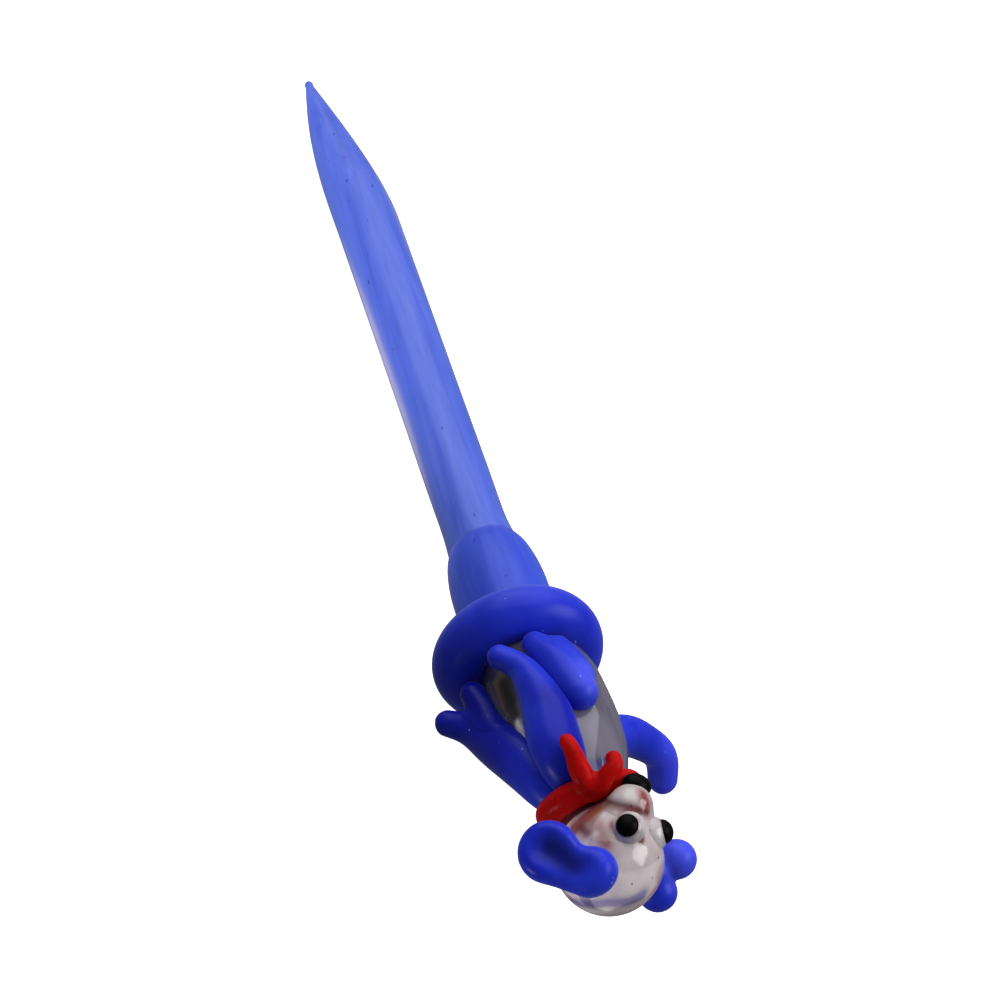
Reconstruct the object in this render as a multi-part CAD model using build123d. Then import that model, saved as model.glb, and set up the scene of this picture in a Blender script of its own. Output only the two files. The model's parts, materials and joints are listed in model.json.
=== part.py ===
from build123d import *
import os
from math import cos, sin, radians, sqrt

os.makedirs("parts", exist_ok=True)

# Lamp-worked glass dip pen, millimetres.
# The pieces are laid out along the pen: +X from the point to the figure's head, with the
# collar ring centred on zero. At the end everything is laid down at rest on the table.

# --- driving dimensions -----------------------------------------------------------------
SHAFT_R = 4.2            # plain shaft the fingers hold
SHAFT_END = -19.6        # where the shaft meets the knop
SHOULDER_X = -80.0       # where the shaft starts to narrow to the point
POINT_X = -110.2         # where the point meets its bead
BEAD_R = 0.62            # rounded bead that writes
POINT_R = 0.5            # radius of the point where it meets the bead
POINT_SWAY = 1.35        # how far the drawn point leans off the axis

KNOP_R = 5.85            # swelling between shaft and ring
KNOP_LIP_R = 4.55        # it starts as a small lip round the shaft
KNOP_SHIFT = 0.3         # hand-gathered, so a little off centre
KNOP_WIDEST = -12.5
CORE_R = 4.3             # knop and torso run together through the ring's hole

RING_R = 7.25            # centre line of the collar ring
RING_TUBE = 3.5
RING_SHIFT = -0.3

TORSO_TOP = 29.6         # the neck runs up into the head
TORSO_LIFT = 0.3
AHEAD = Vector(1, 0, 0)
HEAD_C = Vector(34.9, 1.87, 0.42)
HEAD_R = 6.6
FACE = Vector(-0.522, 0.511, 0.683)      # the way the figure looks
SIDE = Vector(-0.196, 0.755, -0.626)     # from its left ear to its right ear
CROWN = Vector(0.837, 0.461, 0.294)      # from its chin to its crown

REST_TILT = 4.5          # the pen lies on its ring, its shoulder and one hand
TIP_STEPS = 5            # sections that round the end of a limb


# --- helpers ----------------------------------------------------------------------------

def from_head(face, side, crown):
    return HEAD_C + FACE * face + SIDE * side + CROWN * crown


def section(centre, along, radius):
    return Plane(origin=centre, x_dir=sideways(along), z_dir=along) * Circle(radius)


def sideways(along):
    reference = Vector(0, 0.31, 0.95) if abs(along.Z) < 0.8 else Vector(0.2, 0.97, 0)
    return (reference - along * reference.dot(along)).normalized()


def limb(stations, start_round=False, end_round=True, steps=7):
    """A pulled rod of glass through (point, radius) stations, rounded where it ends."""
    path = Spline([p for p, _ in stations])
    spans = [0.0]
    for (a, _), (b, _) in zip(stations, stations[1:]):
        spans.append(spans[-1] + (b - a).length)
    marks = [s / spans[-1] for s in spans]

    def radius_at(t):
        for (t0, t1), ((_, r0), (_, r1)) in zip(
            zip(marks, marks[1:]), zip(stations, stations[1:])
        ):
            if t <= t1 + 1e-9:
                k = (t - t0) / (t1 - t0)
                k = k * k * (3 - 2 * k)
                return r0 + (r1 - r0) * k
        return stations[-1][1]

    sections = []
    for side, wanted in ((0, start_round), (1, end_round)):
        if side == 1:
            for i in range(steps):
                t = i / (steps - 1)
                sections.append(section(path @ t, (path % t), radius_at(t)))
        if wanted:
            at, along, r = path @ side, path % side, stations[-side][1]
            for i in range(1, TIP_STEPS + 1):
                turn = radians(84) * (i if side else TIP_STEPS + 1 - i) / TIP_STEPS
                out = along * (r * sin(turn) * (1 if side else -1))
                sections.append(section(at + out, along, r * cos(turn)))
    return loft([s.face() for s in sections])


def blob(centre, along, long_r, wide_r, flat_r, wide_dir):
    """An egg-shaped gather of glass with three different half-lengths."""
    wide = (wide_dir - along * wide_dir.dot(along)).normalized()
    ball = scale(Sphere(1), by=(long_r, wide_r, flat_r))
    return Plane(origin=centre, x_dir=along, z_dir=along.cross(wide)) * ball


def turned(profile):
    """A solid of revolution about the pen's axis from (x, radius) points."""
    line = Spline([(x, r) for x, r in profile])
    (x0, r0), (x1, r1) = profile[0], profile[-1]
    outline = [line, Line((x0, 0), (x0, r0)), Line((x1, r1), (x1, 0)), Line((x1, 0), (x0, 0))]
    return revolve(make_face(outline), Axis.X)


def less(body, *others):
    for other in others:
        body = body - other
    solids = sorted(body.solids(), key=lambda s: s.volume)
    return solids[-1]


# --- the pen ----------------------------------------------------------------------------
shaft_rod = extrude(section(Vector(SHOULDER_X, 0, 0), AHEAD, SHAFT_R), SHAFT_END - SHOULDER_X)

# the point: round sections that shrink along an ogive and lean a little to one side
point_sections = []
POINT_LENGTH = SHOULDER_X - POINT_X
for i in range(9):
    k = i / 8
    radius = POINT_R + (SHAFT_R - POINT_R) * (1 - (1 - k) ** 1.85)
    lean = -POINT_SWAY * (1 - k * k) ** 2
    centre = Vector(POINT_X + k * POINT_LENGTH, lean, 0)
    point_sections.append(section(centre, AHEAD, radius).face())
drawn_point = loft(point_sections)
# the bead is a ball cut flat where it is melted to the point's end
bead_depth = sqrt(BEAD_R**2 - POINT_R**2)
bead_ball = Sphere(BEAD_R) & Pos(0, 0, bead_depth - BEAD_R) * Box(3, 3, 2 * BEAD_R)
point_bead = Pos(POINT_X - bead_depth, -POINT_SWAY, 0) * Rot(0, 90, 0) * bead_ball

shoulder_knop = Pos(0, KNOP_SHIFT, 0) * turned(
    [(SHAFT_END, KNOP_LIP_R), (-18.6, 4.95), (-16.4, 5.5), (KNOP_WIDEST, KNOP_R),
     (-8.0, 5.65), (-4.0, 5.0), (0.0, CORE_R)]
)
collar_ring = Pos(0.1, RING_SHIFT, 0) * Rot(0, 90, 0) * Torus(RING_R, RING_TUBE)
shoulder_knop = less(shoulder_knop, collar_ring)

# the torso: round sections whose centres drift sideways towards the neck
torso_rows = [(0.0, CORE_R, 0.0), (1.8, 5.3, 0.4), (4.2, 6.7, 0.9), (8.0, 7.2, 1.4),
              (13.0, 7.0, 2.0), (18.0, 6.55, 2.3), (22.0, 5.55, 2.2), (25.5, 4.3, 2.0),
              (TORSO_TOP, 3.7, 1.9)]
torso_body = loft(
    [section(Vector(x, y, TORSO_LIFT if x else 0), AHEAD, r).face() for x, r, y in torso_rows]
)
head_ball = Pos(HEAD_C) * Sphere(HEAD_R)
torso = less(torso_body, collar_ring, head_ball)

# --- limbs ------------------------------------------------------------------------------
left_leg = limb(
    [(Vector(24.6, -1.2, -0.4), 1.7), (Vector(22.6, -2.7, -0.6), 2.0),
     (Vector(19.4, -4.1, -0.8), 2.15), (Vector(15.5, -5.5, -1.1), 2.35),
     (Vector(12.0, -7.0, -1.4), 2.3), (Vector(8.8, -8.8, -1.5), 1.75),
     (Vector(7.0, -10.9, -1.6), 1.45)],
)
left_leg_toe = limb(
    [(Vector(13.4, -5.6, -0.6), 1.7), (Vector(10.0, -6.3, 0.0), 1.6),
     (Vector(7.4, -6.9, 0.6), 1.5), (Vector(5.4, -7.5, 1.0), 1.45)],
)
left_arm = limb(
    [(Vector(26.0, -0.2, 4.0), 2.4), (Vector(23.4, -0.6, 5.6), 3.0),
     (Vector(20.0, -0.8, 6.9), 3.1), (Vector(16.6, -0.8, 7.5), 2.75),
     (Vector(12.2, -1.2, 7.8), 2.1), (Vector(8.6, -2.3, 7.9), 1.6),
     (Vector(6.7, -4.1, 8.1), 1.5)],
)
right_leg = limb(
    [(Vector(14.7, 3.7, 8.0), 2.25), (Vector(11.8, 2.9, 8.1), 2.35),
     (Vector(8.4, 1.8, 7.9), 2.0), (Vector(5.3, 0.7, 7.4), 1.6)],
    start_round=True,
)
right_leg_toe = limb(
    [(Vector(10.0, 4.9, 6.6), 1.5), (Vector(7.6, 4.6, 7.0), 1.5),
     (Vector(5.6, 4.0, 7.1), 1.3)],
    start_round=True,
)
right_arm = limb(
    [(Vector(16.4, 5.6, 0.8), 2.6), (Vector(15.2, 8.6, -0.9), 2.6),
     (Vector(14.6, 11.8, -3.8), 2.25), (Vector(14.8, 13.9, -7.0), 2.0),
     (Vector(15.7, 14.0, -9.7), 1.75)],
)

# --- scarf ------------------------------------------------------------------------------
SCARF_R = 4.7
SCARF_TUBE = 1.45
scarf_plane = Plane(origin=(26.0, 1.9, 0.5), x_dir=(0, 1, 0.2), z_dir=(1, -0.25, -0.2))
scarf_ring = scarf_plane * Torus(SCARF_R, SCARF_TUBE)
scarf_tail_left = limb(
    [(Vector(26.4, 1.2, 5.6), 1.2), (Vector(25.2, 0.5, 7.9), 1.15),
     (Vector(22.9, -0.1, 9.6), 1.0)],
)
scarf_tail_right = limb(
    [(Vector(26.3, 2.4, 5.2), 1.2), (Vector(26.5, 3.6, 6.9), 1.1),
     (Vector(26.0, 4.8, 8.3), 1.0)],
)

# --- head -------------------------------------------------------------------------------
snout_body = limb(
    [(from_head(3.6, 0.2, -0.4), 3.5), (from_head(5.4, 0.3, -0.6), 3.1),
     (from_head(6.9, 0.4, -0.7), 2.5)],
)
nose_body = blob(from_head(9.5, 0.5, -0.6), FACE, 1.3, 1.9, 1.6, SIDE)
eye_left_body = Pos(from_head(4.9, -2.75, 3.4)) * Sphere(2.0)
eye_right_body = Pos(from_head(4.9, 2.2, 3.1)) * Sphere(2.0)
pupil_left_body = Pos(from_head(5.4, -3.1, 3.85)) * Sphere(1.62)
pupil_right_body = Pos(from_head(5.9, 2.7, 3.7)) * Sphere(1.5)

EAR_OUT = 7.9            # from the middle of the head to the middle of an ear
ear_left_body = blob(
    from_head(0.1, -EAR_OUT, 1.05), (CROWN + SIDE * 0.5 - FACE * 0.1).normalized(),
    5.9, 4.1, 2.9, FACE,
)
ear_right_body = blob(
    from_head(0.0, EAR_OUT, 1.7), (FACE + CROWN * 0.15).normalized(), 4.6, 3.7, 2.9, CROWN
)

# --- neighbours are cut so that the fused pieces meet face to face -------------------------
head = head_ball
snout = less(snout_body, head, torso)
nose = less(nose_body, snout, head)
eye_left = less(eye_left_body, head, snout)
eye_right = less(eye_right_body, head, snout)
pupil_left = less(pupil_left_body, eye_left, head)
pupil_right = less(pupil_right_body, eye_right, head)
ear_left = less(ear_left_body, head)
ear_right = less(ear_right_body, head)
scarf_band = less(scarf_ring, torso, head, snout)
left_leg = less(left_leg, torso, collar_ring, scarf_band)
left_leg_toe = less(left_leg_toe, torso, collar_ring, left_leg)
left_arm = less(left_arm, torso, collar_ring, scarf_band, head)
right_leg = less(right_leg, torso, collar_ring, left_arm)
right_leg_toe = less(right_leg_toe, torso, collar_ring, right_leg)
right_arm = less(right_arm, torso)
scarf_tail_left = less(scarf_tail_left, scarf_band, torso, left_arm, snout, head)
scarf_tail_right = less(scarf_tail_right, scarf_band, torso, snout, head, scarf_tail_left)

pieces = dict(
    shaft_rod=shaft_rod, drawn_point=drawn_point, point_bead=point_bead,
    shoulder_knop=shoulder_knop, collar_ring=collar_ring, torso=torso,
    scarf_band=scarf_band, scarf_tail_left=scarf_tail_left,
    scarf_tail_right=scarf_tail_right, head=head, snout=snout, nose=nose,
    eye_left=eye_left, eye_right=eye_right, pupil_left=pupil_left,
    pupil_right=pupil_right, ear_left=ear_left, ear_right=ear_right,
    left_arm=left_arm, right_arm=right_arm, left_leg=left_leg,
    left_leg_toe=left_leg_toe, right_leg=right_leg, right_leg_toe=right_leg_toe,
)

# --- lay the pen down at rest and put the origin under the middle of its bounds -------------
lie_down = Rot(0, -REST_TILT, 0)
placed = {name: lie_down * piece for name, piece in pieces.items()}
bounds = Compound(children=[Solid(p.wrapped) for p in placed.values()]).bounding_box()
shift = Pos(-(bounds.min.X + bounds.max.X) / 2, -(bounds.min.Y + bounds.max.Y) / 2, -bounds.min.Z)
for name, piece in placed.items():
    piece = shift * piece
    export_step(piece, f"parts/{name}.step")
    print(name, round(piece.volume, 2), len(piece.solids()), piece.is_valid)
print("shift", *shift.position, "size", *bounds.size)
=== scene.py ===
"""A lamp-worked glass dip pen: blue shaft with a drawn point, a knop, a collar ring, and a
small animal figure of clear and blue glass with a red scarf. Laid out as an add-on."""
import json

import bpy
import numpy as np
from bpy.props import FloatProperty, FloatVectorProperty, PointerProperty
from mathutils import Matrix, Vector


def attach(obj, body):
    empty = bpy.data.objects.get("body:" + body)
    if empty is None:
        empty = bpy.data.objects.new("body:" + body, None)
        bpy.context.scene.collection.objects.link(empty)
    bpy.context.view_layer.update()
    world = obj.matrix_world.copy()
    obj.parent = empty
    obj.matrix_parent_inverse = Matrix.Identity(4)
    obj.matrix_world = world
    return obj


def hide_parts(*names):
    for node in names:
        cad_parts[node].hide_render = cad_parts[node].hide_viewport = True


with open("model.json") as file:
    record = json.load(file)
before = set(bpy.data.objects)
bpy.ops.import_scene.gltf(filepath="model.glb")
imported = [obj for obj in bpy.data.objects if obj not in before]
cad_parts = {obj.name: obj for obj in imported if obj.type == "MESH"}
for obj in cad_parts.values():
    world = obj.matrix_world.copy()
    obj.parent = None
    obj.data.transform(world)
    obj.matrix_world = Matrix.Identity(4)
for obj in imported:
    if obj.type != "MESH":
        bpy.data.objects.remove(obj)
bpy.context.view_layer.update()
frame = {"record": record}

bl_info = {
    "name": "Glass dip pen",
    "version": (1, 0, 0),
    "blender": (4, 5, 0),
    "location": "3D View > Sidebar > Glass pen",
    "description": "Builds a lamp-worked glass dip pen with an animal figure",
    "category": "Add Mesh",
}

MM = 0.001
GRIP = next(m for m in frame["record"]["mounts"] if m["name"] == "shaft_grip")
GRIP_X = -49.8            # where the grip mount sits along the pen, mm from the ring
AHEAD = -np.array(GRIP["axis"], float)
AHEAD /= np.linalg.norm(AHEAD)
SIDEWAYS = np.array([0.0, 1.0, 0.0])
PEN_AXES = np.array([AHEAD, SIDEWAYS, np.cross(AHEAD, SIDEWAYS)])
PEN_ORIGIN = np.array(GRIP["pos_m"], float) - GRIP_X * MM * AHEAD

# the middle of the head globe in pen millimetres, and the figure's gaze, right and crown
HEAD_MID = np.array([34.9, 1.87, 0.42])
FACE = np.array([-0.522, 0.511, 0.683])
SIDE = np.array([-0.196, 0.755, -0.626])
CROWN = np.array([0.837, 0.461, 0.294])

TIP_X = -110.2            # where the drawn point begins, mm from the ring
POINT_LONG = 30.2         # length of the drawn point, mm
TIP_R = 0.5               # radius of the point at its tip, mm
TIP_LEAN = -1.35          # how far the tip leans sideways, mm
RING_FLAT = 0.34          # how far the ring is flattened where it rests, mm
CAP_ROWS = 18             # rows of rays that fan over each end of a limb
CREASE = np.radians(50)   # edges sharper than this stay sharp


# --- places ------------------------------------------------------------------------------
def in_row(points):
    """Pen millimetres (along, sideways, up) to metres in the part's own frame."""
    return PEN_ORIGIN + (np.asarray(points, float) @ PEN_AXES) * MM


def from_head(face, side, crown):
    """A point given by how far it lies along the figure's gaze, its right and its crown."""
    return HEAD_MID + face * FACE + side * SIDE + crown * CROWN


def unit(v):
    """The vectors of an array scaled to length one."""
    v = np.asarray(v, float)
    return v / np.maximum(np.linalg.norm(v, axis=-1, keepdims=True), 1e-12)


# --- curves and surfaces -----------------------------------------------------------------
def spline(stops, values, at):
    """Natural cubic spline: the second derivatives that make the slopes meet are solved from
    one linear system, then each span's cubic is evaluated at the wanted places."""
    stops, values, at = (np.asarray(a, float) for a in (stops, values, at))
    flat = values.reshape(len(stops), -1)
    gap = np.diff(stops)
    n = len(stops)
    system = np.eye(n)
    inner = np.arange(1, n - 1)
    system[inner, inner - 1] = gap[:-1]
    system[inner, inner] = 2 * (gap[:-1] + gap[1:])
    system[inner, inner + 1] = gap[1:]
    slope = np.diff(flat, axis=0) / gap[:, None]
    right = np.zeros_like(flat)
    right[1:-1] = 6 * np.diff(slope, axis=0)
    bend = np.linalg.solve(system, right)
    k = np.clip(np.searchsorted(stops, at, side="right") - 1, 0, n - 2)
    h = gap[k][:, None]
    a, b = (stops[k + 1] - at)[:, None], (at - stops[k])[:, None]
    out = (bend[k] * a**3 + bend[k + 1] * b**3) / (6 * h)
    out += (flat[k] / h - bend[k] * h / 6) * a + (flat[k + 1] / h - bend[k + 1] * h / 6) * b
    return out.reshape(at.shape + values.shape[1:])


def bump_at(distance, width):
    """A bell: e to the minus (distance / width) squared."""
    return np.exp(-((distance / width) ** 2))


def skin(name, grid, tube_closed=False, painted_light_and_marks=None):
    """Makes a mesh from a grid of points (rows along, columns around). Each row is a closed loop.
    Rows either join end to end (a ring) or shrink to a pole at both ends, where the first and last
    rows are replaced by one vertex each. The colour function given last colours the vertices with
    painted light, painted shade and marks."""
    grid = np.asarray(grid, float)
    rows, cols = grid.shape[:2]
    j = np.arange(cols)
    nxt = (j + 1) % cols
    if tube_closed:
        verts = grid.reshape(-1, 3)
        i = np.arange(rows)[:, None]
        up = (i + 1) % rows
        quads = np.stack(
            [i * cols + j, i * cols + nxt, up * cols + nxt, up * cols + j], -1
        ).reshape(-1, 4)
        faces = quads.tolist()
    else:
        body = grid[1:-1]
        verts = np.concatenate([body.reshape(-1, 3), [grid[0].mean(0), grid[-1].mean(0)]])
        i = np.arange(len(body) - 1)[:, None]
        quads = np.stack(
            [i * cols + j, i * cols + nxt, (i + 1) * cols + nxt, (i + 1) * cols + j], -1
        ).reshape(-1, 4)
        base, last = len(body) * cols, (len(body) - 1) * cols
        first_fan = np.stack([np.full(cols, base), nxt, j], -1)
        last_fan = np.stack([np.full(cols, base + 1), last + j, last + nxt], -1)
        faces = quads.tolist() + first_fan.tolist() + last_fan.tolist()
    mesh = bpy.data.meshes.new(name)
    mesh.from_pydata(in_row(verts), [], faces)
    layer = mesh.attributes.new("painted_light_and_marks", "FLOAT_COLOR", "POINT")
    colours = np.zeros((len(verts), 4)) if painted_light_and_marks is None else painted_light_and_marks(verts)
    layer.data.foreach_set("color", colours.astype(np.float32).ravel())
    if signed_volume(mesh) < 0:
        mesh.flip_normals()
    mesh.polygons.foreach_set("use_smooth", np.ones(len(mesh.polygons), bool))
    mesh.update()
    piece = bpy.data.objects.new(name, mesh)
    bpy.context.scene.collection.objects.link(piece)
    return piece


def signed_volume(mesh):
    """Sum over triangles of corner . (corner x corner) / 6, positive when faces look out."""
    mesh.calc_loop_triangles()
    tri = np.zeros(len(mesh.loop_triangles) * 3, np.int64)
    mesh.loop_triangles.foreach_get("vertices", tri)
    co = np.zeros(len(mesh.vertices) * 3)
    mesh.vertices.foreach_get("co", co)
    a, b, c = co.reshape(-1, 3)[tri.reshape(-1, 3)].transpose(1, 0, 2)
    return float((a * np.cross(b, c)).sum() / 6)


def string(stations, count=72):
    """Balls strung along a spline through stations (x, y, z, radius in mm), evenly spaced by
    length, so close together that they make a tube with round ends."""
    stations = np.asarray(stations, float)
    if len(stations) == 1:
        return stations
    step = np.linalg.norm(np.diff(stations[:, :3], axis=0), axis=1)
    stops = np.concatenate([[0], np.cumsum(step)])
    return spline(stops, stations, np.linspace(0, stops[-1], count))


def hoop(along, radius, ball_r, count):
    """Balls on a circle round the pen's middle line: sideways by radius times the sine of the
    turn, upward by radius times its cosine."""
    turn = np.linspace(0, 2 * np.pi, count, endpoint=False)
    return np.stack([np.full(count, along), radius * np.sin(turn), radius * np.cos(turn),
                     np.full(count, ball_r)], -1)


def near(points, balls):
    """Distance from each point to the skin of the nearest ball, negative inside."""
    square = (points**2).sum(-1)[..., None] + (balls[:, :3] ** 2).sum(-1)
    gap = np.sqrt(np.maximum(square - 2 * points @ balls[:, :3].T, 0))
    return (gap - balls[:, 3]).min(-1)


def melt(one, other, soft):
    """Smooth least of two distances: where they differ by less than soft the two surfaces
    flow together, other * (1 - h) + one * h - soft * h * (1 - h)."""
    h = np.clip(0.5 + 0.5 * (other - one) / soft, 0, 1)
    return other * (1 - h) + one * h - soft * h * (1 - h)


def flow(strings, soft):
    """The distance field of several strings of balls melted together one after another."""
    def field(points):
        out = near(points, strings[0])
        for balls in strings[1:]:
            out = melt(out, near(points, balls), soft)
        return out
    return field


def own_share(field, balls, slack=0.8):
    """The part of a melted surface that one piece makes: the smooth greater of the whole
    distance and the distance to the piece's own balls less a slack, so that it dips into its
    neighbour where it ends."""
    return lambda points: -melt(-field(points), slack - near(points, balls), 0.3)


def grow(roots, ways, field, steps=30):
    """From each root a point walks outward by its own distance to the surface until it
    arrives there."""
    roots, ways = np.broadcast_arrays(np.asarray(roots, float), ways)
    reach = np.zeros(ways.shape[:-1])
    for _ in range(steps):
        reach = np.maximum(reach - 0.9 * field(roots + reach[..., None] * ways), 0)
    return reach


def uneven(along, turn, seed, much):
    """A factor near 1: two slow sines of place and angle, as hand-worked glass has."""
    return 1 + much * (np.sin(2 * turn + 0.5 * along + seed)
                       + 0.6 * np.sin(turn - 0.9 * along + 2.3 * seed))


def limb(name, balls, field, seed=0.0, much=0.016, rows=120, around=64, painted_light_and_marks=None):
    """A pulled gather of glass: rays leave the string's middle line square to it, and fan
    over both its ends, and grow to the melted surface."""
    pick = np.linspace(0, len(balls) - 1, rows)
    path = np.stack([np.interp(pick, np.arange(len(balls)), balls[:, k]) for k in range(3)], -1)
    tangent = unit(np.gradient(path, axis=0))
    guide = np.array([0.05, 0.31, 0.95])
    one = unit(guide - (tangent @ guide)[:, None] * tangent)
    two = np.cross(tangent, one)
    cap = np.linspace(0, np.pi / 2, CAP_ROWS)
    lift = np.concatenate([-cap[::-1], np.zeros(rows - 2), cap])
    row = np.concatenate([np.zeros(CAP_ROWS, int), np.arange(1, rows - 1),
                          np.full(CAP_ROWS, rows - 1)])
    turn = np.linspace(0, 2 * np.pi, around, endpoint=False)
    side = np.cos(turn)[:, None] * one[row][:, None] + np.sin(turn)[:, None] * two[row][:, None]
    ways = (np.cos(lift)[:, None, None] * side
            + np.sin(lift)[:, None, None] * tangent[row][:, None])
    reach = grow(path[row][:, None], ways, own_share(field, balls))
    reach *= uneven(pick[row][:, None] * 0.2, turn[None], seed, much)
    return skin(name, path[row][:, None] + reach[..., None] * ways, painted_light_and_marks=painted_light_and_marks)


def turned(name, stops, radii, centre_y, centre_z, count=140, around=96, much=0.0, seed=0.0,
           painted_light_and_marks=None):
    """Round sections stacked along the pen: splined radius, splined sideways and upward
    centre, with a slow sine of place and angle in the radius. The ends shrink to poles."""
    x = np.concatenate([[stops[0]], np.linspace(stops[0], stops[-1], count), [stops[-1]]])
    radius = spline(stops, radii, x)
    radius[[0, -1]] = 0
    turn = np.linspace(0, 2 * np.pi, around, endpoint=False)
    reach = radius[:, None] * uneven(0.25 * x[:, None], turn[None], seed, much)
    mid_y, mid_z = spline(stops, centre_y, x), spline(stops, centre_z, x)
    grid = np.stack([np.broadcast_to(x[:, None], reach.shape),
                     mid_y[:, None] + reach * np.sin(turn),
                     mid_z[:, None] + reach * np.cos(turn)], -1)
    piece = skin(name, grid, painted_light_and_marks=painted_light_and_marks)
    piece.data.set_sharp_from_angle(angle=CREASE)
    return piece


def ball(name, centre, axes, field, rows=72, cols=96, painted_light_and_marks=None):
    """A gather of glass round one point: rays leave the centre by polar and turning angle,
    measured from the first axis, and grow to the surface of the field."""
    polar = np.linspace(0, np.pi, rows)[:, None]
    turn = np.linspace(0, 2 * np.pi, cols, endpoint=False)[None]
    way = np.stack([np.broadcast_to(np.cos(polar), (rows, cols)),
                    np.sin(polar) * np.cos(turn), np.sin(polar) * np.sin(turn)], -1)
    ways = way @ np.asarray([unit(a) for a in axes])
    reach = grow(centre, ways, field)
    return skin(name, np.asarray(centre) + reach[..., None] * ways, painted_light_and_marks=painted_light_and_marks)


def lens(centre, axes, halves):
    """Distance field of an ellipsoid of three half-lengths: (k - 1) times k over the length
    of the gradient, k being the radius after scaling to a unit ball."""
    axes = np.asarray([unit(a) for a in axes])
    halves = np.asarray(halves, float)
    def field(points):
        q = (points - centre) @ axes.T
        k0 = np.linalg.norm(q / halves, axis=-1)
        k1 = np.linalg.norm(q / halves**2, axis=-1)
        return np.where(k1 > 1e-6, k0 * (k0 - 1) / np.maximum(k1, 1e-6), -halves.min())
    return field


def squared_axes(long, wide):
    """Three directions at right angles: the first kept, the second straightened against it."""
    long = unit(long)
    wide = unit(np.asarray(wide) - np.dot(wide, long) * long)
    return long, wide, np.cross(long, wide)


def paint_by_distance(*spots):
    """Colours laid over one another by distance, used for painted light, painted shade and marks:
    each spot is a string of balls, a width in mm, a colour and a strength, and fades as a bell away
    from the string. Returns a function giving red, green, blue and how much they cover."""
    def colours(points):
        out = np.zeros((len(points), 4))
        for balls, width, tone, strength in spots:
            much = strength * bump_at(np.maximum(near(points, balls), 0), width)
            out[:, :3] = out[:, :3] * (1 - much[:, None]) + np.asarray(tone) * much[:, None]
            out[:, 3] = 1 - (1 - out[:, 3]) * (1 - much)
        cover = np.maximum(out[:, 3:], 1e-6)
        out[:, :3] = np.clip(out[:, :3] / cover, 0, 1)
        return out
    return colours


# --- glass -------------------------------------------------------------------------------
class Nodes:
    """Short hand for a material's node tree: add a node, set its inputs, link by name."""

    def __init__(self, name):
        self.material = bpy.data.materials.new(name)
        self.material.use_nodes = True
        self.tree = self.material.node_tree
        self.shader = self.tree.nodes["Principled BSDF"]
        self.coords = self.add("ShaderNodeTexCoord").outputs["Object"]

    def add(self, kind, inputs=None, **settings):
        node = self.tree.nodes.new(kind)
        for key, value in settings.items():
            setattr(node, key, value)
        for key, value in (inputs or {}).items():
            self.feed(node.inputs[key], value)
        return node

    def feed(self, socket, value):
        if isinstance(value, bpy.types.NodeSocket):
            self.tree.links.new(value, socket)
        else:
            socket.default_value = value

    def along_pen(self, stretch):
        """Object coordinates turned to run along the pen and shortened along it, so that
        noise read with them makes streaks."""
        turn = Matrix(PEN_AXES.tolist()).to_euler()
        node = self.add("ShaderNodeMapping", {"Vector": self.coords, "Rotation": turn,
                                              "Scale": (stretch, 1, 1)})
        return node.outputs["Vector"]

    def noise(self, vector, scale, detail=4.0, rough=0.55, warp=0.0):
        node = self.add("ShaderNodeTexNoise", {"Vector": vector, "Scale": scale,
                                               "Detail": detail, "Roughness": rough,
                                               "Distortion": warp})
        return node.outputs["Fac"]

    def ramp(self, value, stops):
        node = self.add("ShaderNodeValToRGB", {"Fac": value})
        points = node.color_ramp.elements
        while len(points) < len(stops):
            points.new(0.5)
        for point, (place, colour) in zip(points, stops):
            point.position = place
            point.color = (*colour, 1)
        return node.outputs["Color"]

    def math(self, operation, a, b=0.0, c=0.0, clamp=False):
        node = self.add("ShaderNodeMath", operation=operation, use_clamp=clamp)
        for socket, value in zip(node.inputs, (a, b, c)):
            self.feed(socket, value)
        return node.outputs[0]

    def mix(self, factor, a, b):
        node = self.add("ShaderNodeMix", data_type="RGBA")
        self.feed(node.inputs["Factor"], factor)
        for socket, value in ((node.inputs[6], a), (node.inputs[7], b)):
            self.feed(socket, value if isinstance(value, bpy.types.NodeSocket) else (*value, 1))
        return node.outputs[2]

    def blend(self, kind, a, b):
        node = self.add("ShaderNodeMix", data_type="RGBA", blend_type=kind)
        node.inputs["Factor"].default_value = 1.0
        self.feed(node.inputs[6], a)
        self.feed(node.inputs[7], b)
        return node.outputs[2]

    def painted_over(self, tone):
        """The tone with the mesh's own vertex colours laid over it: painted light, painted shade,
        painted views through the glass and a few marks.
        """
        laid = self.add("ShaderNodeAttribute", attribute_name="painted_light_and_marks")
        return self.mix(laid.outputs["Alpha"], tone, laid.outputs["Color"])

    def bump(self, height, distance, strength=1.0):
        node = self.add("ShaderNodeBump", {"Height": height, "Distance": distance,
                                           "Strength": strength})
        return node.outputs["Normal"]

    def set(self, **inputs):
        """Sets or links the shader's own sockets, an underscore standing for a space."""
        for key, value in inputs.items():
            self.feed(self.shader.inputs[key.replace("_", " ")], value)


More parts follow.
